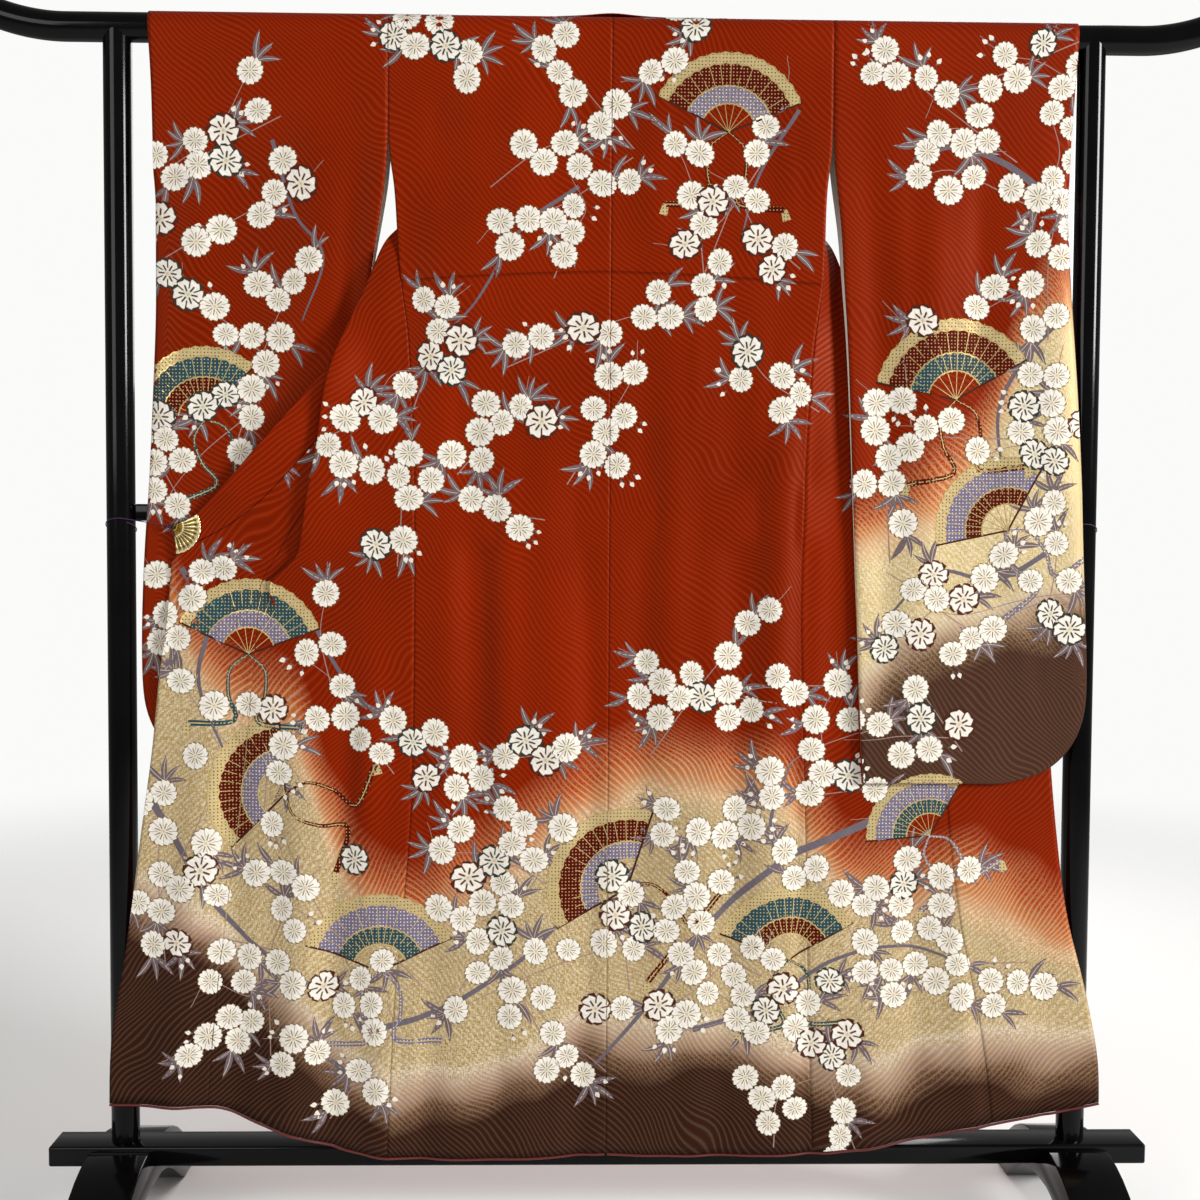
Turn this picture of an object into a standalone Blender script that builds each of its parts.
"""A furisode, hung open with its back outward, on a lacquered clothes rack.

Metres, +Z up, origin on the floor under the middle of the rack.  The garment's
back looks along -Y, and +X is to the right of someone who looks at it.  Every
panel of cloth is worked out from its cut: a table gives the height of each
section, and how far the panel's two edges lie from the centre seam there.
"""
import math

import bmesh
import bpy
import numpy as np

MM = 0.001

# Colours, as linear red, green and blue
RED = (0.42, 0.035, 0.008)
HEM_RED = (0.55, 0.08, 0.02)
LACQUER = (0.006, 0.006, 0.007)
BRASS = (0.62, 0.40, 0.12)
TIE_PURPLE = (0.10, 0.03, 0.12)

# The rack
BAR_RADIUS = 0.0205
BAR_HEIGHT = 1.719
BAR_HALF_LENGTH = 0.892
BAR_CURVE_START = 0.760
BAR_CURVE = 1.84
BAR_CURVE_STEPS = 8
POST_RADIUS = 0.0200
POST_X = 0.690
RAIL_HEIGHT = 1.038
RAIL_DEEP = 0.016
RAIL_TALL = 0.024
BOARD_HALF_LENGTH = 0.7925
BOARD_DEEP = 0.062
BOARD_THICK = 0.029
BOARD_TOP = 0.129
FOOT_WIDE = 0.087

# The cloth
CLOTH = 0.0016
COLLAR_CLOTH = 0.0022
SEAM_GAP = 0.0003
TUCK_STEP = 0.0014
CENTRE_X = 0.006
BAR_CLEAR = 0.0010
CLOTH_RADIUS = BAR_RADIUS + BAR_CLEAR + CLOTH / 2
ARMHOLE_END = 1.548
SIDE_SEAM_TOP = 1.400
OKUMI_TOP = 1.500
HEM_ROLL_RADIUS = 0.0018
HEM_ROLL_DROP = 0.0024

# Half widths from the centre seam, in mm, at heights in mm: z, left, right
BACK_EDGE = (
    (1745, 314, 312),
    (1548, 314, 312),
    (1506, 306, 305),
    (1448, 302, 303),
    (1400, 298, 302),
    (1336, 291, 296),
    (1297, 286, 290),
    (1200, 281, 283),
    (1130, 277, 280),
    (1030, 276, 277),
    (905, 276, 275),
    (640, 279, 283),
    (341, 304, 291),
    (100, 314, 300),
)
SLEEVE_INNER_EDGE = (
    (1745, 314, 312),
    (1548, 314, 313),
    (1507, 318, 318),
    (1447, 328, 326),
    (1394, 337, 329),
    (1350, 343, 332),
    (1270, 350, 338),
    (1120, 357, 344),
    (960, 363, 351),
    (740, 371, 360),
    (640, 376, 367),
)
SLEEVE_OUTER_EDGE = (
    (1745, 652, 663),
    (1690, 649, 660),
    (1627, 645, 656),
    (1555, 644, 651),
    (1447, 644, 652),
    (1336, 645, 659),
    (1207, 650, 670),
    (1050, 657, 679),
    (951, 665, 682),
    (843, 667, 689),
    (640, 667, 692),
)
OKUMI_SEAM = (
    (1500, 161, 161),
    (1400, 196, 196),
    (1300, 246, 246),
    (1200, 321, 321),
    (1126, 376, 376),
    (1047, 430, 428),
    (1005, 456, 452),
    (969, 477, 470),
    (945, 493, 480),
    (893, 497, 486),
    (780, 508, 490),
    (633, 522, 487),
    (540, 535, 497),
    (447, 545, 507),
    (317, 557, 535),
    (140, 569, 558),
)
OKUMI_OUTER_EDGE = (
    (1000, 614, 614),
    (961, 621, 619),
    (859, 628, 625),
    (837, 635, 628),
    (747, 642, 634),
    (658, 651, 639),
    (603, 662, 646),
    (505, 673, 657),
    (432, 681, 667),
    (340, 692, 690),
    (266, 704, 702),
    (190, 709, 714),
)

# The seam of the collar: z, half width, width of the band
COLLAR_SEAM = (
    (1700, 92, 55),
    (1600, 118, 55),
    (1500, 161, 55),
    (1400, 211, 55),
    (1300, 276, 55),
    (1216, 350, 55),
    (1159, 400, 55),
    (1106, 448, 55),
    (1048, 500, 53),
    (1014, 549, 42),
    (996, 586, 28),
)
COLLAR_END = 0.996
COLLAR_TURN_LOW = 1.300
COLLAR_TURN_TOP = 1.440
COLLAR_TURN_LEVELS = (1.320, 1.360)
COLLAR_LIES_ON = 0.0034
COLLAR_TILT = 0.003
COLLAR_TURN_BULGE = 0.8
COLLAR_STEEPEST = 1.15

# The front is folded twice under itself: z, outer fold, inner fold
FRONT_FOLDS = (
    (1720, 304, 105),
    (1700, 304, 104),
    (1660, 304, 93),
    (1600, 303, 98),
    (1548, 302, 107),
    (1500, 288, 116),
    (1455, 286, 130),
    (1432, 312, 140),
    (1403, 326, 150),
    (1376, 336, 168),
    (1350, 348, 184),
    (1298, 371, 220),
    (1251, 390, 262),
    (1200, 402, 303),
    (1126, 414, 338),
    (1047, 428, 369),
    (1005, 434, 392),
    (974, 440, 412),
    (958, 460, 436),
)
# Where both folds run out: z, how far before the front's end each of them lies
FOLDS_RUN_OUT = (
    (958, 16, 38),
    (940, 11, 29),
    (922, 15, 10),
    (900, 24, 12),
)
# Distance in depth between the outer and middle layers, and the middle and inner
FOLD_PITCH = (
    (1700, 0.0, 0.0),
    (1660, 0.0, 4.2),
    (1455, 0.0, 3.0),
    (1432, 3.0, 3.0),
    (976, 3.0, 3.0),
    (940, 4.4, 4.4),
    (922, 4.4, 4.4),
    (900, 1.2, 1.2),
    (870, 0.0, 0.0),
)
FAR_PITCH = 0.0015
FAR_PITCH_AT = 0.003
FOLD_RADIUS = 0.0016
FOLD_LEAD = 0.003
FOLD_FADE = 0.008
FOLD_TURNS_IN = 0.006
STEEP_GAP = 0.0010
SEAM_BEND = 0.045
CLEAR_OF_SLEEVE = 0.006
RAMP_BEHIND_BACK = 0.035
OUTER_STEPS = 4
INNER_STEPS = 3

# The hem's line, in mm: half width, height on the left, height on the right
HEM_LINE = (
    (0, 122, 122),
    (60, 118, 119),
    (150, 115, 118),
    (230, 114, 119),
    (310, 117, 121),
    (366, 125, 127),
    (420, 141, 136),
    (509, 171, 154),
    (565, 191, 165),
    (640, 193, 178),
    (715, 195, 194),
)
HEM_BEND_START = 0.520
HEM_NOMINAL = 0.117

# Depths (y, in mm) of the hanging layers at heights in mm.  On the left the
# front lies before the sleeve, on the right it passes behind the sleeve.
BACK_DEPTH = (
    (1719, -22.3),
    (1560, -22.3),
    (1380, -24.4),
    (1040, -27.5),
    (660, -31.0),
    (110, -36.8),
)
SLEEVE_DEPTH = {
    -1: (  # z, near layer, far layer
        (1719, -22.3, 22.3),
        (1548, -22.3, 22.3),
        (1440, -14.0, 16.0),
        (1300, -8.0, 7.0),
        (1200, -9.5, -1.0),
        (1100, -13.4, -8.6),
        (1065, -14.8, -10.2),
        (1000, -15.6, -10.4),
        (640, -17.0, -10.8),
    ),
    1: (
        (1719, -22.3, 22.3),
        (1548, -22.3, 22.3),
        (1450, -22.5, 10.0),
        (1400, -22.8, 2.6),
        (1376, -23.1, -0.6),
        (1300, -24.0, -8.0),
        (1200, -25.2, -14.4),
        (1040, -27.0, -21.2),
        (640, -33.6, -27.4),
    ),
}
FRONT_DEPTH = {
    -1: (  # z, outer layer, middle layer where it lies behind the back
        (1719, 22.3, 22.3),
        (1548, 22.3, 22.3),
        (1500, 14.0, 17.0),
        (1450, -4.0, 9.0),
        (1432, -12.0, 5.5),
        (1410, -21.0, 1.5),
        (1400, -24.3, -1.0),
        (1300, -25.1, -12.0),
        (1200, -26.1, -15.0),
        (1040, -27.5, -17.5),
        (940, -28.0, -25.2),
        (870, -27.5, -27.5),
        (660, -27.6, -27.6),
        (400, -31.0, -31.0),
        (110, -36.0, -36.0),
    ),
    1: (
        (1719, 22.3, 22.3),
        (1548, 22.3, 22.3),
        (1500, 21.0, 21.0),
        (1450, 15.4, 16.4),
        (1432, 12.5, 15.5),
        (1400, 8.6, 11.6),
        (1376, 5.4, 8.4),
        (1300, -2.0, 1.0),
        (1200, -8.6, -5.6),
        (1040, -16.5, -13.5),
        (940, -19.4, -16.6),
        (870, -19.8, -19.8),
        (660, -23.6, -23.6),
        (400, -29.0, -29.0),
        (110, -35.8, -35.8),
    ),
}

# Soft hanging folds: side, half width and height of the top end, the same of
# the low end, half width of the fold, depth toward the viewer (minus: trough)
FOLDS = (
    ("left", 206, 1180, 176, 640, 20, -3.2),
    ("left", 232, 1080, 226, 420, 17, 2.2),
    ("left", 96, 900, 110, 130, 30, 2.4),
    ("left", 232, 560, 262, 110, 22, -2.2),
    ("left", 40, 640, 52, 110, 22, -1.8),
    ("right", 216, 1160, 204, 700, 20, -3.0),
    ("right", 150, 1010, 140, 330, 26, 2.4),
    ("right", 232, 640, 246, 120, 20, 2.0),
    ("right", 70, 720, 92, 120, 24, -2.0),
    ("right", 180, 430, 190, 110, 18, -1.8),
    ("left", 352, 1010, 352, 640, 17, 2.2),
    ("left", 336, 660, 352, 112, 16, -2.6),
    ("left", 424, 820, 440, 150, 24, 2.4),
    ("left", 486, 700, 512, 160, 17, -2.0),
    ("right", 322, 880, 330, 560, 16, -2.0),
    ("right", 392, 620, 410, 130, 24, 2.2),
    ("right", 470, 600, 500, 150, 18, -2.0),
    ("left", 566, 900, 604, 190, 18, 2.0),
    ("left", 612, 700, 656, 190, 16, -1.8),
    ("right", 590, 620, 640, 170, 20, 2.0),
)


def smooth(value, low, high):
    """Rises smoothly from 0 at low to 1 at high; low may be the larger."""
    part = min(max((value - low) / (high - low), 0.0), 1.0)
    return part * part * (3 - 2 * part)


def read(table, column, place):
    """Reads a table at a place along its first column, curving between its rows."""
    if table[0][0] > table[-1][0]:
        table = table[::-1]
    count = len(table)
    if place <= table[0][0]:
        return float(table[0][column])
    if place >= table[-1][0]:
        return float(table[-1][column])
    slopes = [(table[i + 1][column] - table[i][column]) / (table[i + 1][0] - table[i][0])
              for i in range(count - 1)]

    def tangent(row):
        if row in (0, count - 1):
            return slopes[min(row, count - 2)]
        before, after = slopes[row - 1], slopes[row]
        return 0.0 if before * after <= 0 else 2 * before * after / (before + after)

    row = next(i for i in range(count - 1) if place <= table[i + 1][0])
    span = table[row + 1][0] - table[row][0]
    t = (place - table[row][0]) / span
    start = table[row][column] * (2 * t ** 3 - 3 * t ** 2 + 1)
    start += tangent(row) * span * (t ** 3 - 2 * t ** 2 + t)
    end = table[row + 1][column] * (3 * t ** 2 - 2 * t ** 3)
    end += tangent(row + 1) * span * (t ** 3 - t ** 2)
    return float(start + end)


def half_width(table, side, z):
    """Half width of an edge from the centre seam; side is -1 left, 1 right."""
    return read(table, 1 if side < 0 else 2, z / MM) * MM


def depth(table, column, z):
    return read(table, column, z / MM) * MM


def relief(side, half, z):
    """How far the soft folds move the body's cloth along Y; they die out at both ends."""
    shift = 0.0
    name = "left" if side < 0 else "right"
    for where, top_half, top_z, low_half, low_z, width, rise in FOLDS:
        if where != name:
            continue
        along = (top_z * MM - z) / ((top_z - low_z) * MM)
        middle = (top_half + (low_half - top_half) * along) * MM
        fade = smooth(along, 0.0, 0.3)
        if low_z > 300:
            fade *= 1 - smooth(along, 0.7, 1.0)
        shift -= rise * MM * fade * math.exp(-((half - middle) / (width * MM)) ** 2)
    return shift


def hem_height(side, half):
    return read(HEM_LINE, 1 if side < 0 else 2, half / MM) * MM


def hem_bend(side, half, z):
    """Bends the level sections near the hem to follow the hem's own line."""
    if z >= HEM_BEND_START:
        return z
    part = (HEM_BEND_START - z) / (HEM_BEND_START - HEM_NOMINAL)
    return HEM_BEND_START - part * (HEM_BEND_START - hem_height(side, half))


def over_bar(angle, radius=CLOTH_RADIUS):
    """A point of a layer that lies on the bar: 0 is the top, + the far side."""
    return radius * math.sin(angle), BAR_HEIGHT + radius * math.cos(angle)


def front_end(side, z):
    """Half width where the front ends: at the collar's seam, or at the overlap panel's."""
    if z > OKUMI_TOP:
        seam = read(COLLAR_SEAM, 1, z / MM) * MM
        return seam - SEAM_GAP + 0.0009 * smooth(z, 1.66, 1.70)
    return half_width(OKUMI_SEAM, side, z) - SEAM_GAP / 2


def front_start(side, z):
    """Half width where the front starts: inside the armhole, or outside the side seam."""
    below = 1 - smooth(z, SIDE_SEAM_TOP, ARMHOLE_END)
    gap = 2 * SEAM_GAP
    if side > 0:
        gap += STEEP_GAP * smooth(z, 1.15, 1.34)
    return half_width(BACK_EDGE, side, z) - SEAM_GAP / 2 + gap * below


def fold_places(side, z):
    """Half widths of the outer and the inner fold."""
    outer, inner = depth(FRONT_FOLDS, 1, z), depth(FRONT_FOLDS, 2, z)
    low = 1 - smooth(z, 0.940, 0.958)
    end = front_end(side, z)
    outer += (end - depth(FOLDS_RUN_OUT, 1, z) - outer) * low
    inner += (end - depth(FOLDS_RUN_OUT, 2, z) - inner) * low
    return outer, inner


def front_depth(side, layer, half, z):
    """Depth of one of the front's three layers; layer 0 is nearest the viewer."""
    near, far = depth(FRONT_DEPTH[side], 1, z), depth(FRONT_DEPTH[side], 2, z)
    first, second = depth(FOLD_PITCH, 1, z), depth(FOLD_PITCH, 2, z)
    near += first * min(layer, 1.0) + second * max(layer - 1.0, 0.0)
    far -= first * (1.0 - min(layer, 1.0))
    far += second * (1 + FAR_PITCH / FAR_PITCH_AT) * max(layer - 1.0, 0.0)
    ramp_out, ramp_in = gap_ramp(side, z)
    return far + (near - far) * min(max((half - ramp_in) / (ramp_out - ramp_in), 0.0), 1.0)


def gap_ramp(side, z):
    """Half widths between which the hidden layers pass through the gap by the sleeve."""
    gap_out = half_width(SLEEVE_INNER_EDGE, side, z) - 0.004
    ramp_out = min(gap_out, fold_places(side, z)[0] - 0.001)
    return ramp_out, half_width(BACK_EDGE, side, z) - RAMP_BEHIND_BACK


def start_depth(z):
    """Depth of the front's first edge: on the sleeve's seam, and lower on the back's."""
    back = depth(BACK_DEPTH, 1, z)
    return back + (CLOTH_RADIUS - back) * smooth(z, SIDE_SEAM_TOP, ARMHOLE_END)


def limit(value, low, high):
    return min(max(value, low), high)


def front_section(side, z):
    """The front's section at one height: a list of (half width, depth, share of the drop)."""
    start, end = front_start(side, z), front_end(side, z)
    fold, turn = fold_places(side, z)
    ramp_out, ramp_in = gap_ramp(side, z)
    gap_out = half_width(SLEEVE_INNER_EDGE, side, z) - CLEAR_OF_SLEEVE
    kink = 1.0
    if fold > start + 0.004:
        kink = limit((min(start + SEAM_BEND, gap_out) - start) / (fold - start), 0.2, 1.0)
    first = limit((fold - ramp_out) / (fold - turn), 0.25, 0.5)
    second = limit((fold - ramp_in) / (fold - turn), first + 0.25, 0.85)
    folded = smooth(min(fold - start, fold - turn), 0.0, FOLD_FADE)
    turned = smooth(min(end - turn, fold - turn), 0.0, FOLD_FADE)
    fold_way = limit((start - fold) / FOLD_TURNS_IN, -1.0, 1.0)
    turn_way = limit((fold - turn) / FOLD_TURNS_IN, -1.0, 1.0)
    tilt = 0.7 * (1 - smooth(fold - turn, 0.0, 0.020))
    apex = 0.0050 * smooth(z, 1.61, 1.66) * (1 - smooth(z, 1.68, 1.70))
    section = []

    def add(half, layer, drop=0.0, aside=0.0):
        y = front_depth(side, layer, half, z) + aside
        section.append((half, y + relief(side, half, z), drop))

    before_fold = fold + fold_way * (1 - folded) * FOLD_LEAD
    before_turn = turn + turn_way * (1 - turned) * FOLD_LEAD
    near_kink = min(kink, 3 / (OUTER_STEPS + 3))
    outer = [0.0, near_kink / 2, near_kink]
    outer += [near_kink + (1 - near_kink) * i / (OUTER_STEPS + 1)
              for i in range(1, OUTER_STEPS + 1)]
    for part in outer:
        half = start + (before_fold - start) * part
        near = front_depth(side, 0.0, max(half, ramp_out), z)
        before = start_depth(z)
        y = before + (near - before) * min(part / kink, 1.0)
        section.append((half, y + relief(side, half, z), 1 - part))
    for part in (0.0, 0.5):
        bend = 0.5 - 0.5 * math.cos(math.pi * part)
        half = before_fold + (fold - before_fold) * part
        add(half + folded * FOLD_RADIUS * math.sin(math.pi * part), bend * (1 - tilt))
    for part in (0.0, first, second, (1 + second) / 2):
        add(fold + (before_turn - fold) * part, 1.0 + tilt * (2 * part - 1))
    for part in (0.0, 0.5):
        bend = 0.5 - 0.5 * math.cos(math.pi * part)
        half = before_turn + (turn - before_turn) * part
        over = turned * FOLD_RADIUS * math.sin(math.pi * part)
        add(half - over, 1.0 + tilt + bend * (1 - tilt))
    for i in range(INNER_STEPS + 1):
        part = i / INNER_STEPS
        add(turn + (end - turn) * part, 2.0, aside=apex * part)
    return section


def new_material(name, colour, roughness, metallic=0.0):
    material = bpy.data.materials.new(name)
    material.use_nodes = True
    shader = material.node_tree.nodes["Principled BSDF"]
    shader.inputs["Base Color"].default_value = (*colour, 1.0)
    shader.inputs["Roughness"].default_value = roughness
    shader.inputs["Metallic"].default_value = metallic
    return material


def add_object(name, mesh, colour, roughness, metallic=0.0):
    mesh.materials.append(new_material(name + "_finish", colour, roughness, metallic))
    piece = bpy.data.objects.new(name, mesh)
    bpy.context.scene.collection.objects.link(piece)
    return piece


def mesh_from_faces(name, points, faces, smooth_angle=35):
    mesh = bpy.data.meshes.new(name)
    mesh.from_pydata([tuple(p) for p in points], [], faces)
    mesh.validate()
    mesh.shade_smooth()
    mesh.set_sharp_from_angle(angle=math.radians(smooth_angle))
    return mesh


def grid_faces(rows, columns):
    faces = []
    for r in range(rows - 1):
        for c in range(columns - 1):
            low, high = r * columns + c, (r + 1) * columns + c
            faces.append((low, low + 1, high + 1, high))
    return faces


def cloth_wall(name, points, faces, thickness=CLOTH):
    """A wall of cloth about the middle surface that the points and faces give."""
    piece = add_object(name, mesh_from_faces(name, points, faces), RED, 0.6)
    wall = piece.modifiers.new("wall", "SOLIDIFY")
    wall.thickness = thickness
    wall.offset = 0.0
    wall.use_even_offset = True
    return piece


def cloth_panel(name, rows, thickness=CLOTH, extra_faces=()):
    points = [p for row in rows for p in row]
    faces = grid_faces(len(rows), len(rows[0])) + list(extra_faces)
    return cloth_wall(name, points, faces, thickness)


def world(side, half, y, z):
    return (CENTRE_X + side * half, y, z)


# Heights of the sections that the body's panels share, so that their seams match
BODY_LEVELS = (1.700, 1.660, 1.610, 1.548, 1.510, 1.475, 1.455, 1.432, 1.416, 1.400, 1.376,
               1.345, 1.300, 1.255, 1.210, 1.165, 1.120, 1.075, 1.040, 1.014, 0.996, 0.976,
               0.958, 0.940, 0.922, 0.900, 0.870, 0.800, 0.710, 0.620, 0.530, 0.440, 0.350,
               0.265, 0.190, 0.117)
TUCK_HEIGHT = 1.382
TUCK_SAG = 0.015
BACK_LEVELS = (tuple(z for z in BODY_LEVELS if z > TUCK_HEIGHT)
               + (TUCK_HEIGHT + 0.0015, TUCK_HEIGHT - 0.0015)
               + tuple(z for z in BODY_LEVELS if z < TUCK_HEIGHT))

# Places of the back's columns as shares of its width; the first four are the neck's
BACK_SHARES = (0.0, 0.10, 0.20, 0.297, 0.415, 0.53, 0.65, 0.77, 0.885, 1.0)
NECK_COLUMNS = 4


def tuck_drop(share, z):
    """The waist tuck is stitched level, and hangs lower toward the side seams."""
    near = 1 - smooth(abs(z - TUCK_HEIGHT), 0.004, 0.10)
    return TUCK_SAG * near * share ** 1.5


def back_rows(side):
    """The back from the hem up to the bar's top line, with the waist tuck's step."""
    rows = []
    for level in reversed(BACK_LEVELS):
        edge = half_width(BACK_EDGE, side, level) - SEAM_GAP / 2
        row = []
        for share in BACK_SHARES:
            half = SEAM_GAP / 2 + (edge - SEAM_GAP / 2) * share
            y = depth(BACK_DEPTH, 1, level) + relief(side, half, level)
            if level > TUCK_HEIGHT:
                y -= TUCK_STEP * (1 - smooth(level, TUCK_HEIGHT, 1.50))
            sagged = level - tuck_drop(share, level)
            row.append(world(side, half, y, hem_bend(side, half, sagged)))
        rows.append(row)
    for angle in (-math.pi / 2, -1.2, -0.8, -0.4, -0.014):
        y, z = over_bar(angle)
        edge = half_width(BACK_EDGE, side, z) - SEAM_GAP / 2
        rows.append([world(side, SEAM_GAP / 2 + (edge - SEAM_GAP / 2) * share, y, z)
                     for share in BACK_SHARES])
    return rows


def front_rows(side):
    """The front from the far side of the bar down to the hem, inner edge first."""
    rows = []
    for angle in (0.4, 0.8, 1.2, math.pi / 2):
        y, z = over_bar(angle)
        section = front_section(side, BAR_HEIGHT)
        rows.append([world(side, half, y, z) for half, _, _ in reversed(section)])
    for level in BODY_LEVELS:
        sag = tuck_drop(1.0, level)
        rows.append([world(side, half, y, hem_bend(side, half, level - sag * drop))
                     for half, y, drop in reversed(front_section(side, level))])
    return rows


def zip_rows(first, second, offset_first, offset_second):
    """Triangles between two rows that have unlike numbers of points."""
    a, b = 0, 0
    faces = []
    while a < len(first) - 1 or b < len(second) - 1:
        a_next = abs(first[a + 1][0] - CENTRE_X) if a < len(first) - 1 else math.inf
        b_next = abs(second[b + 1][0] - CENTRE_X) if b < len(second) - 1 else math.inf
        if a_next <= b_next:
            faces.append((offset_first + a, offset_first + a + 1, offset_second + b))
            a += 1
        else:
            faces.append((offset_first + a, offset_second + b + 1, offset_second + b))
            b += 1
    return faces


def body_panel(side):
    """One length of cloth: the back, over the bar, and the front down to its hem."""
    back, front = back_rows(side), front_rows(side)
    points = [p for row in back + front for p in row]
    columns = len(BACK_SHARES)
    faces = grid_faces(len(back), columns)
    skip = len(back) * columns
    faces += [tuple(skip + i for i in face) for face in grid_faces(len(front), len(front[0]))]
    shoulder = back[-1][NECK_COLUMNS - 1:]
    faces += zip_rows(shoulder, front[0], skip - len(shoulder), skip)
    return cloth_wall("body_left" if side < 0 else "body_right", points, faces)


def seam_slope(z):
    """How fast the collar's seam runs outward as it goes down."""
    here = z / MM
    slope = (read(COLLAR_SEAM, 1, max(here - 4, 996)) - read(COLLAR_SEAM, 1, here + 4)) / 8
    return min(slope, 2.0)


def okumi_edges(side, z):
    """Half widths of the overlap panel's two edges at one height."""
    inner = half_width(OKUMI_SEAM, side, z) + SEAM_GAP / 2
    if z < COLLAR_END - 0.001:
        return inner, half_width(OKUMI_OUTER_EDGE, side, z)
    outer = read(COLLAR_SEAM, 1, z / MM) * MM
    outer -= 0.0005 * math.hypot(seam_slope(z), 1.0)
    return inner, outer - 0.0022 * math.sin(math.pi * collar_turn(z))


def okumi_depth(side, half, z):
    return front_depth(side, 2.0, half, z) + relief(side, half, z)


def okumi_panel(side):
    """Overlap panel from its point on the far side to the hem."""
    rows = [okumi_row(side, z) for z in BODY_LEVELS if z < OKUMI_TOP - 0.02]
    return cloth_panel("okumi_left" if side < 0 else "okumi_right", rows)


SLEEVE_LEVELS = (1.700, 1.640, 1.548, 1.500, 1.445, 1.400, 1.376, 1.335, 1.290, 1.200, 1.100,
                 1.060, 1.000, 0.900, 0.810, 0.760, 0.722, 0.695, 0.676, 0.664)
SLEEVE_BOTTOM = {-1: 0.664, 1: 0.656}
SLEEVE_CORNER = 0.125
CUFF_LOW = 1.500
SLEEVE_COLUMNS = 7
SLEEVE_EDGE_GAP = 0.0036


def sleeve_outer(side, z):
    """Half width of the sleeve's outer edge, with its round lower corner."""
    edge = half_width(SLEEVE_OUTER_EDGE, side, z) - 0.002
    up = z - SLEEVE_BOTTOM[side]
    if up >= SLEEVE_CORNER:
        return edge
    drop = SLEEVE_CORNER - max(up, 0.0)
    return edge - SLEEVE_CORNER + math.sqrt(max(SLEEVE_CORNER ** 2 - drop ** 2, 0.0))


def sleeve_depth(side, layer, half, z):
    """Depth of the near (0) or the far (1) layer; they close up at the sewn outer edge."""
    near = depth(SLEEVE_DEPTH[side], 1, z)
    far = depth(SLEEVE_DEPTH[side], 2, z)
    if layer == 0:
        return near
    edge = sleeve_outer(side, z)
    closed = smooth(half, edge - 0.070, edge) * (1 - smooth(z, CUFF_LOW - 0.10, CUFF_LOW + 0.10))
    return far + (near + SLEEVE_EDGE_GAP - far) * closed


def sleeve_levels(side):
    lift = SLEEVE_BOTTOM[side] - SLEEVE_LEVELS[-1]
    return [z + lift * (1 - smooth(z, 0.66, 0.90)) for z in SLEEVE_LEVELS]


def sleeve_row(side, y_of_half, z):
    inner = half_width(SLEEVE_INNER_EDGE, side, z)
    inner += SEAM_GAP / 2 if z >= ARMHOLE_END - 0.001 else 0.0
    outer = sleeve_outer(side, z)
    halves = [inner + (outer - inner) * c / (SLEEVE_COLUMNS - 1) for c in range(SLEEVE_COLUMNS)]
    return [world(side, half, y_of_half(half), z) for half in halves]


def sleeve(side):
    """A sleeve: one loop of cloth over the bar, sewn below the cuff and along the bottom."""
    levels = sleeve_levels(side)
    rows = []
    for z in reversed(levels):
        rows.append(sleeve_row(side, lambda half, z=z: sleeve_depth(side, 0, half, z), z))
    for angle in (-math.pi / 2, -1.2, -0.8, -0.4, 0.0, 0.4, 0.8, 1.2, math.pi / 2):
        y, z = over_bar(angle)
        rows.append(sleeve_row(side, lambda half, y=y: y, z))
    for z in levels:
        rows.append(sleeve_row(side, lambda half, z=z: sleeve_depth(side, 1, half, z), z))
    last = len(rows) - 1
    sewn = sum(1 for z in levels if z <= CUFF_LOW + 0.001)
    width = SLEEVE_COLUMNS
    joins = []
    for r in range(sewn - 1):
        near, far = r * width + width - 1, (last - r) * width + width - 1
        joins.append((near, far, far - width, near + width))
    for c in range(width - 1):
        joins.append((c, last * width + c, last * width + c + 1, c + 1))
    name = "sleeve_left" if side < 0 else "sleeve_right"
    return cloth_panel(name, rows, extra_faces=joins)


def collar_turn(z):
    """0 where the band's free edge lies outward, 1 where it lies to the neck."""
    return smooth(z, COLLAR_TURN_LOW, COLLAR_TURN_TOP)


def collar_row(side, z, steps):
    """One cross-section of the band below the shoulder, from its seam outward."""
    half = read(COLLAR_SEAM, 1, z / MM) * MM
    width = read(COLLAR_SEAM, 2, z / MM) * MM
    slope = min(seam_slope(z), COLLAR_STEEPEST)
    out, up = 1.0 / math.hypot(slope, 1.0), slope / math.hypot(slope, 1.0)
    turned = collar_turn(z)
    way = math.cos(math.pi * turned)
    bulge = math.sin(math.pi * turned)
    seam_y = front_depth(side, 2.0, half, z)
    if z > OKUMI_TOP:
        seam_y = front_section(side, z)[-1][1]
    row = []
    for step in range(steps + 1):
        reach = width * step / steps
        at_half = half + out * way * reach
        at_z = z + up * way * reach
        low = front_depth(side, 2.0, at_half, at_z) if turned < 1.0 else seam_y
        high = seam_y + COLLAR_LIES_ON + COLLAR_TILT * step / steps
        y = low + (high - low) * turned + bulge * COLLAR_TURN_BULGE * reach
        row.append(world(side, at_half, y, at_z))
    return row

COLLAR_LEVELS = sorted(COLLAR_TURN_LEVELS + tuple(z for z in BODY_LEVELS if z > COLLAR_END - 0.001))

# The band round the neck: half width and drape of the seam, the same of the
# free edge; drape is the way from the bar's top line down the far side
COLLAR_NECK = (
    (91.5, 37, 36, 60),
    (91, 27, 33, 59),
    (90, 18, 31, 58),
    (88, 9, 29, 57),
    (85, 1, 27, 57),
    (60, 0, 18, 57),
    (30, 0, 9, 57),
)
CREST = 0.0058
CREST_SPAN = 0.030
COLLAR_RADIUS = BAR_RADIUS + 0.0032


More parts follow.
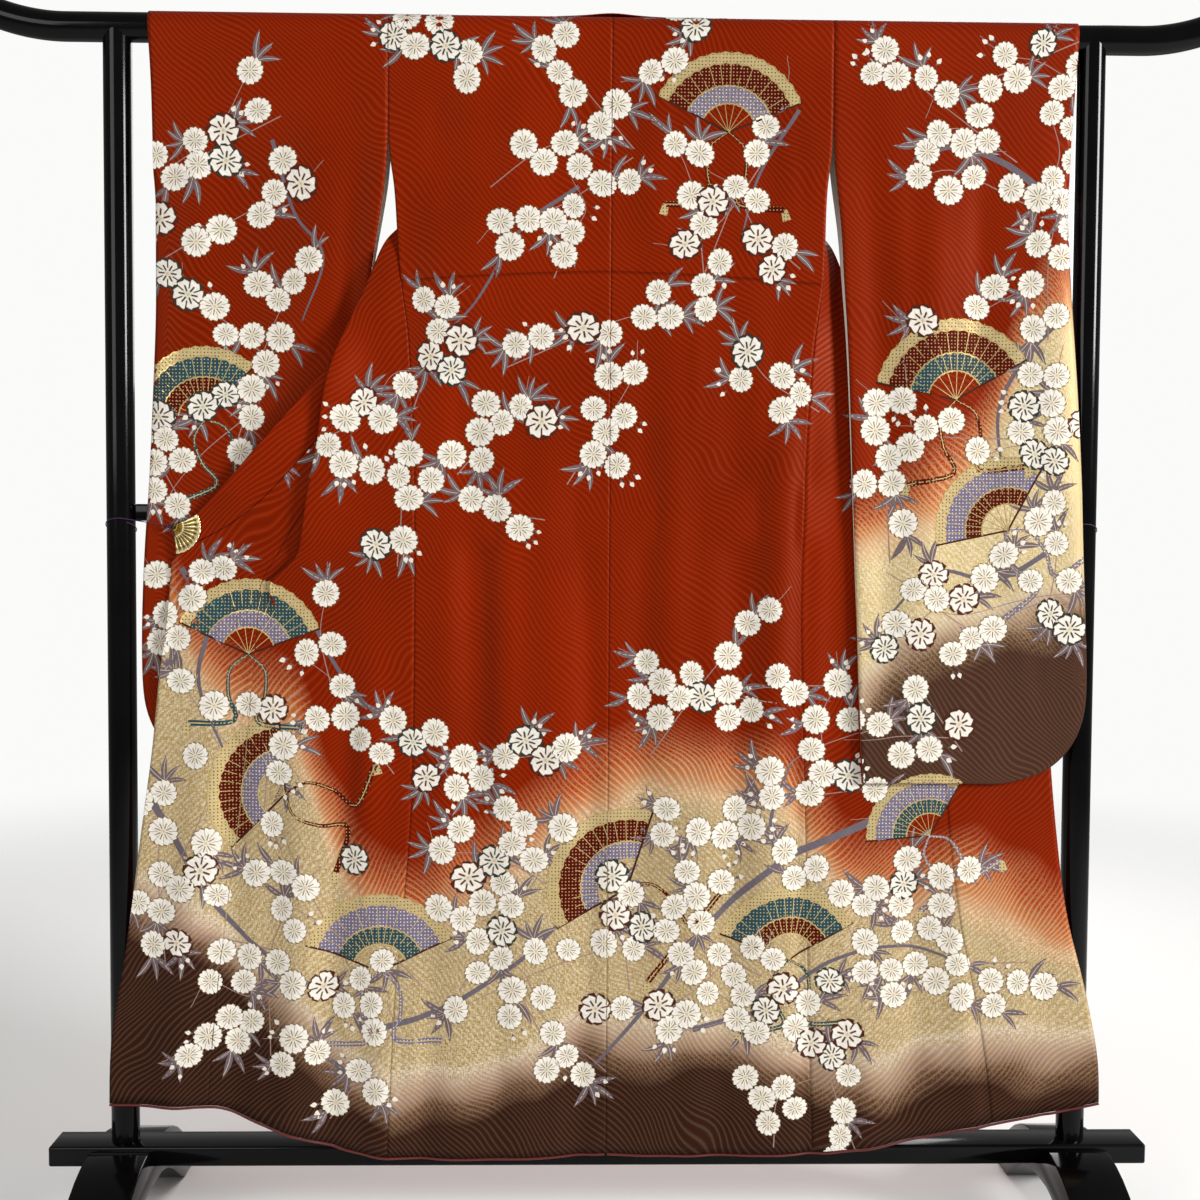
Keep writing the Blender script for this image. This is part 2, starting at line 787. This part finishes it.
def drape(way, lift):
    """A point on the far side, a given way down from the bar's top line."""
    radius = COLLAR_RADIUS + lift
    if way < COLLAR_RADIUS * math.pi / 2:
        return over_bar(way / COLLAR_RADIUS, radius)
    return radius, BAR_HEIGHT - (way - COLLAR_RADIUS * math.pi / 2)


def neck_row(side, seam_half, seam_way, edge_half, edge_way, steps):
    row = []
    for step in range(steps + 1):
        t = (step / steps) ** 1.4
        half = (seam_half + (edge_half - seam_half) * t) * MM
        way = (seam_way + (edge_way - seam_way) * t) * MM
        lift = CREST * math.exp(-(half / CREST_SPAN) ** 2) * (1 - smooth(t, 0.08, 0.6))
        y, z = drape(way, lift)
        row.append(world(side, half, y, z))
    return row


def collar():
    """The collar: one folded band from front edge to front edge, round the neck."""
    steps = 4
    rows = [collar_row(-1, z, steps) for z in COLLAR_LEVELS]
    rows += [neck_row(-1, *entry, steps) for entry in COLLAR_NECK]
    rows.append(neck_row(1, 0, 0, 0, 57, steps))
    rows += [neck_row(1, *entry, steps) for entry in reversed(COLLAR_NECK)]
    rows += [collar_row(1, z, steps) for z in reversed(COLLAR_LEVELS)]
    return cloth_panel("collar", rows, thickness=COLLAR_CLOTH)


def tube(name, path, radius, sides, colour, roughness, metallic=0.0):
    """A round bar along a path; each ring stands square to the path there."""
    path = [np.array(p, dtype=float) for p in path]
    count = len(path)
    points, faces = [], []
    for i, centre in enumerate(path):
        along = path[min(i + 1, count - 1)] - path[max(i - 1, 0)]
        along /= np.linalg.norm(along)
        across = np.cross(along, (0.0, 0.0, 1.0))
        across /= np.linalg.norm(across)
        third = np.cross(along, across)
        for s in range(sides):
            turn = 2 * math.pi * s / sides
            points.append(centre + radius * (math.cos(turn) * across + math.sin(turn) * third))
    for i in range(count - 1):
        for s in range(sides):
            t = (s + 1) % sides
            faces.append((i * sides + s, i * sides + t, (i + 1) * sides + t, (i + 1) * sides + s))
    faces.append(tuple(reversed(range(sides))))
    faces.append(tuple((count - 1) * sides + s for s in range(sides)))
    mesh = mesh_from_faces(name, points, faces)
    outward(mesh)
    return add_object(name, mesh, colour, roughness, metallic)


def outward(mesh):
    shape = bmesh.new()
    shape.from_mesh(mesh)
    bmesh.ops.recalc_face_normals(shape, faces=shape.faces)
    shape.to_mesh(mesh)
    shape.free()


def okumi_row(side, level):
    inner, outer = okumi_edges(side, level)
    row = []
    for share in (0.0, 1 / 3, 2 / 3, 1.0):
        half = inner + (outer - inner) * share
        row.append(world(side, half, okumi_depth(side, half, level), hem_bend(side, half, level)))
    return row


def hem_roll(side):
    """The lining's rolled edge, which shows as a thin cord under the whole hem."""
    edge = back_rows(side)[0] + front_rows(side)[-1][::-1] + okumi_row(side, BODY_LEVELS[-1])
    path = []
    for x, y, z in edge:
        half = abs(x - CENTRE_X)
        if not path or half > abs(path[-1][0] - CENTRE_X) + 0.008:
            path.append((x, y, z - HEM_ROLL_DROP))
    path[0] = (path[0][0] + side * 0.002, path[0][1], path[0][2])
    name = "hem_roll_left" if side < 0 else "hem_roll_right"
    return tube(name, path, HEM_ROLL_RADIUS, 6, HEM_RED, 0.6)


def top_bar():
    """The bar, straight between the posts, with both ends curving up."""
    path = []
    for i in range(BAR_CURVE_STEPS, 0, -1):
        reach = BAR_CURVE_START + (BAR_HALF_LENGTH - BAR_CURVE_START) * i / BAR_CURVE_STEPS
        path.append((-reach, 0.0, BAR_HEIGHT + BAR_CURVE * (reach - BAR_CURVE_START) ** 2))
    path.append((-BAR_CURVE_START, 0.0, BAR_HEIGHT))
    path += [(-x, y, z) for x, y, z in reversed(path)]
    return tube("top_bar", path, BAR_RADIUS, 20, LACQUER, 0.08)


def post(side):
    """A round post whose top is cut to a saddle that seats under the bar."""
    sides = 24
    seat = BAR_RADIUS + SEAM_GAP
    base = BOARD_TOP + SEAM_GAP
    points, faces = [], []
    for ring in range(2):
        for s in range(sides):
            turn = 2 * math.pi * s / sides
            x, y = POST_RADIUS * math.cos(turn), POST_RADIUS * math.sin(turn)
            z = base if ring == 0 else BAR_HEIGHT - math.sqrt(seat ** 2 - y ** 2)
            points.append((side * POST_X + x, y, z))
    for s in range(sides):
        t = (s + 1) % sides
        faces.append((s, t, sides + t, sides + s))
    points.append((side * POST_X, 0.0, base))
    for s in range(sides):
        faces.append((2 * sides, (s + 1) % sides, s))
    half = sides // 2
    quarter = sides // 4
    for k in range(half - 1):
        a, b = (quarter + k) % sides, (quarter + k + 1) % sides
        c, d = (quarter - k) % sides, (quarter - k - 1) % sides
        ring = [sides + a, sides + b, sides + d, sides + c]
        faces.append(tuple(dict.fromkeys(ring)))
    last_a, last_c = (quarter + half - 1) % sides, (quarter - half + 1) % sides
    faces.append((sides + last_a, sides + (quarter + half) % sides, sides + last_c))
    name = "post_left" if side < 0 else "post_right"
    mesh = mesh_from_faces(name, points, faces)
    outward(mesh)
    return add_object(name, mesh, LACQUER, 0.08)


def block(name, low, high, edge, colour=LACQUER, metallic=0.0):
    """A board, rail or plate with softened edges."""
    shape = bmesh.new()
    bmesh.ops.create_cube(shape, size=1.0)
    centre = [(a + b) / 2 for a, b in zip(low, high)]
    size = [b - a for a, b in zip(low, high)]
    for vert in shape.verts:
        vert.co = [c + v * s for c, v, s in zip(centre, vert.co, size)]
    mesh = bpy.data.meshes.new(name)
    shape.to_mesh(mesh)
    shape.free()
    piece = add_object(name, mesh, colour, 0.1 + 0.2 * metallic, metallic)
    bevel = piece.modifiers.new("soft_edges", "BEVEL")
    bevel.width = edge
    bevel.segments = 2
    return piece


# The foot's profile from its middle to its tip, in mm: y, top, underside
FOOT_PROFILE = (
    (32, 122, 66),
    (52, 122, 62),
    (78, 117, 54),
    (105, 109, 41),
    (132, 97, 24),
    (158, 81, 8),
    (172, 70, 0),
    (190, 53, 0),
    (208, 31, 0),
    (221, 12, 0),
)
FOOT_ARCH_ROWS = 7
FOOT_TIP = 0.225
FOOT_TIP_HIGH = 0.004
FOOT_TIP_CUT = 0.003
FOOT_NOTCH = BOARD_TOP - BOARD_THICK - SEAM_GAP
FOOT_CROWN = 0.066


def foot(side):
    """A low arch across the board, notched so that the board lies in it."""
    half = BOARD_DEEP / 2 + SEAM_GAP
    top = [(half, FOOT_NOTCH)] + [(y * MM, z * MM) for y, z, _ in FOOT_PROFILE]
    top[1] = (half, FOOT_PROFILE[0][1] * MM)
    tip = [(FOOT_TIP, FOOT_TIP_HIGH), (FOOT_TIP - FOOT_TIP_CUT, 0.0)]
    under = [(y * MM, z * MM) for y, _, z in reversed(FOOT_PROFILE[:FOOT_ARCH_ROWS])]
    outline = top + tip + under + [(0.0, FOOT_CROWN)]
    outline += [(-y, z) for y, z in reversed(outline[:-1])]
    count = len(outline)
    left, right = side * POST_X - FOOT_WIDE / 2, side * POST_X + FOOT_WIDE / 2
    shape = bmesh.new()
    ring = [shape.verts.new((left, y, z)) for y, z in outline]
    face = shape.faces.new(ring)
    moved = bmesh.ops.extrude_face_region(shape, geom=[face])["geom"]
    for vert in [v for v in moved if isinstance(v, bmesh.types.BMVert)]:
        vert.co.x = right
    bmesh.ops.triangulate(shape, faces=[f for f in shape.faces if len(f.verts) == count])
    bmesh.ops.recalc_face_normals(shape, faces=shape.faces)
    name = "foot_left" if side < 0 else "foot_right"
    mesh = bpy.data.meshes.new(name)
    shape.to_mesh(mesh)
    shape.free()
    return add_object(name, mesh, LACQUER, 0.12)


# The clips that hold the front corners, and their ties to the posts
CLIP_HALF = 0.6165
CLIP_HEIGHT = 1.018
CLIP_RADIUS = 0.039
CLIP_NECK = 0.002
CLIP_PLEATS = 10
CLIP_START = math.radians(28)
CLIP_SWEEP = math.radians(-112)
PLATE = 0.0010
PLATE_FRONT = 0.0020
JAW_BEHIND = 0.0021
PIN_RADIUS = 0.0045
JAW_REACH = 0.026
TIE_RADIUS = 0.0007
TIE_STEPS = 18
TIE_START = -25
TIE_SWEEP = 350
TIE_HEIGHT = 1.0195
TIE_SLANT = 0.0105
TIE_SINKS = 0.004
TIE_ABOVE_PIN = 0.001
CLIP_GRIPS = 0.600
PLEAT_DEEP = 0.0008


def clip_middle(side, z=CLIP_HEIGHT):
    """Depth of the cloth that the clip grips."""
    return front_depth(side, 2.0, CLIP_GRIPS, z)


def clip_fan(side):
    """The fan-shaped plate before the cloth, pleated like a folding fan."""
    points = []
    count = 2 * CLIP_PLEATS + 1
    for radius in (CLIP_NECK, CLIP_RADIUS):
        for i in range(count):
            turn = CLIP_START + CLIP_SWEEP * i / (count - 1)
            half = CLIP_HALF - radius * math.cos(turn)
            z = CLIP_HEIGHT + radius * math.sin(turn)
            pleat = PLEAT_DEEP * (i % 2) * radius / CLIP_RADIUS
            points.append(world(side, half, clip_middle(side, z) - PLATE_FRONT - pleat, z))
    name = "clip_fan_left" if side < 0 else "clip_fan_right"
    piece = add_object(name, mesh_from_faces(name, points, grid_faces(2, count)), BRASS, 0.3, 1.0)
    wall = piece.modifiers.new("sheet_metal", "SOLIDIFY")
    wall.thickness = PLATE
    wall.offset = 0.0
    return piece


def clip_pin(side):
    """The short pin that carries the fan and the jaw, outside the cloth's corner."""
    middle = clip_middle(side)
    front = middle - PLATE_FRONT + PLATE / 2 + SEAM_GAP + 0.0001
    behind = middle + JAW_BEHIND - PLATE / 2 - SEAM_GAP
    sides = 12
    points, faces = [], []
    for y in (front, behind):
        for s in range(sides):
            turn = 2 * math.pi * s / sides
            points.append(world(side, CLIP_HALF + PIN_RADIUS * math.cos(turn), y,
                                CLIP_HEIGHT + PIN_RADIUS * math.sin(turn)))
    for s in range(sides):
        t = (s + 1) % sides
        faces.append((s, t, sides + t, sides + s))
    faces.append(tuple(range(sides)))
    faces.append(tuple(range(sides, 2 * sides)))
    name = "clip_pin_left" if side < 0 else "clip_pin_right"
    mesh = mesh_from_faces(name, points, faces)
    outward(mesh)
    return add_object(name, mesh, BRASS, 0.3, 1.0)


def clip_jaw(side):
    """The flat jaw that presses the cloth from behind."""
    y = clip_middle(side) + JAW_BEHIND
    near = CENTRE_X + side * (CLIP_HALF + PIN_RADIUS)
    far = CENTRE_X + side * (CLIP_HALF - JAW_REACH)
    low = (min(near, far), y - PLATE / 2, CLIP_HEIGHT - PIN_RADIUS)
    high = (max(near, far), y + PLATE / 2, CLIP_HEIGHT + PIN_RADIUS)
    name = "clip_jaw_left" if side < 0 else "clip_jaw_right"
    return block(name, low, high, 0.0003, BRASS, 1.0)


def tie(side):
    """A thin cord from the clip's pin to the post, once round the post below the rail."""
    ring = POST_RADIUS + SEAM_GAP + TIE_RADIUS
    reach = CLIP_HALF + PIN_RADIUS + SEAM_GAP
    path = [world(side, reach, clip_middle(side), CLIP_HEIGHT + TIE_ABOVE_PIN)]
    for i in range(TIE_STEPS + 1):
        turn = math.radians(TIE_START + TIE_SWEEP * i / TIE_STEPS)
        x = side * (POST_X + ring * math.sin(turn))
        z = TIE_HEIGHT + TIE_SLANT * math.cos(turn) - TIE_SINKS * i / TIE_STEPS
        path.append((x, -ring * math.cos(turn), z))
    return tube("tie_left" if side < 0 else "tie_right", path, TIE_RADIUS, 6, TIE_PURPLE, 0.7)


def clear_scene():
    for piece in list(bpy.data.objects):
        bpy.data.objects.remove(piece, do_unlink=True)


def build_rack():
    top_bar()
    block("mid_rail",
          (-POST_X + POST_RADIUS + SEAM_GAP, -RAIL_DEEP / 2, RAIL_HEIGHT - RAIL_TALL / 2),
          (POST_X - POST_RADIUS - SEAM_GAP, RAIL_DEEP / 2, RAIL_HEIGHT + RAIL_TALL / 2), 0.003)
    block("base_board",
          (-BOARD_HALF_LENGTH, -BOARD_DEEP / 2, BOARD_TOP - BOARD_THICK),
          (BOARD_HALF_LENGTH, BOARD_DEEP / 2, BOARD_TOP), 0.003)
    for side in (-1, 1):
        post(side)
        foot(side)


def build_garment():
    for side in (-1, 1):
        body_panel(side)
        okumi_panel(side)
        sleeve(side)
        hem_roll(side)
    collar()


def build_clips():
    for side in (-1, 1):
        clip_fan(side)
        clip_pin(side)
        clip_jaw(side)
        tie(side)


clear_scene()
build_rack()
build_garment()
build_clips()
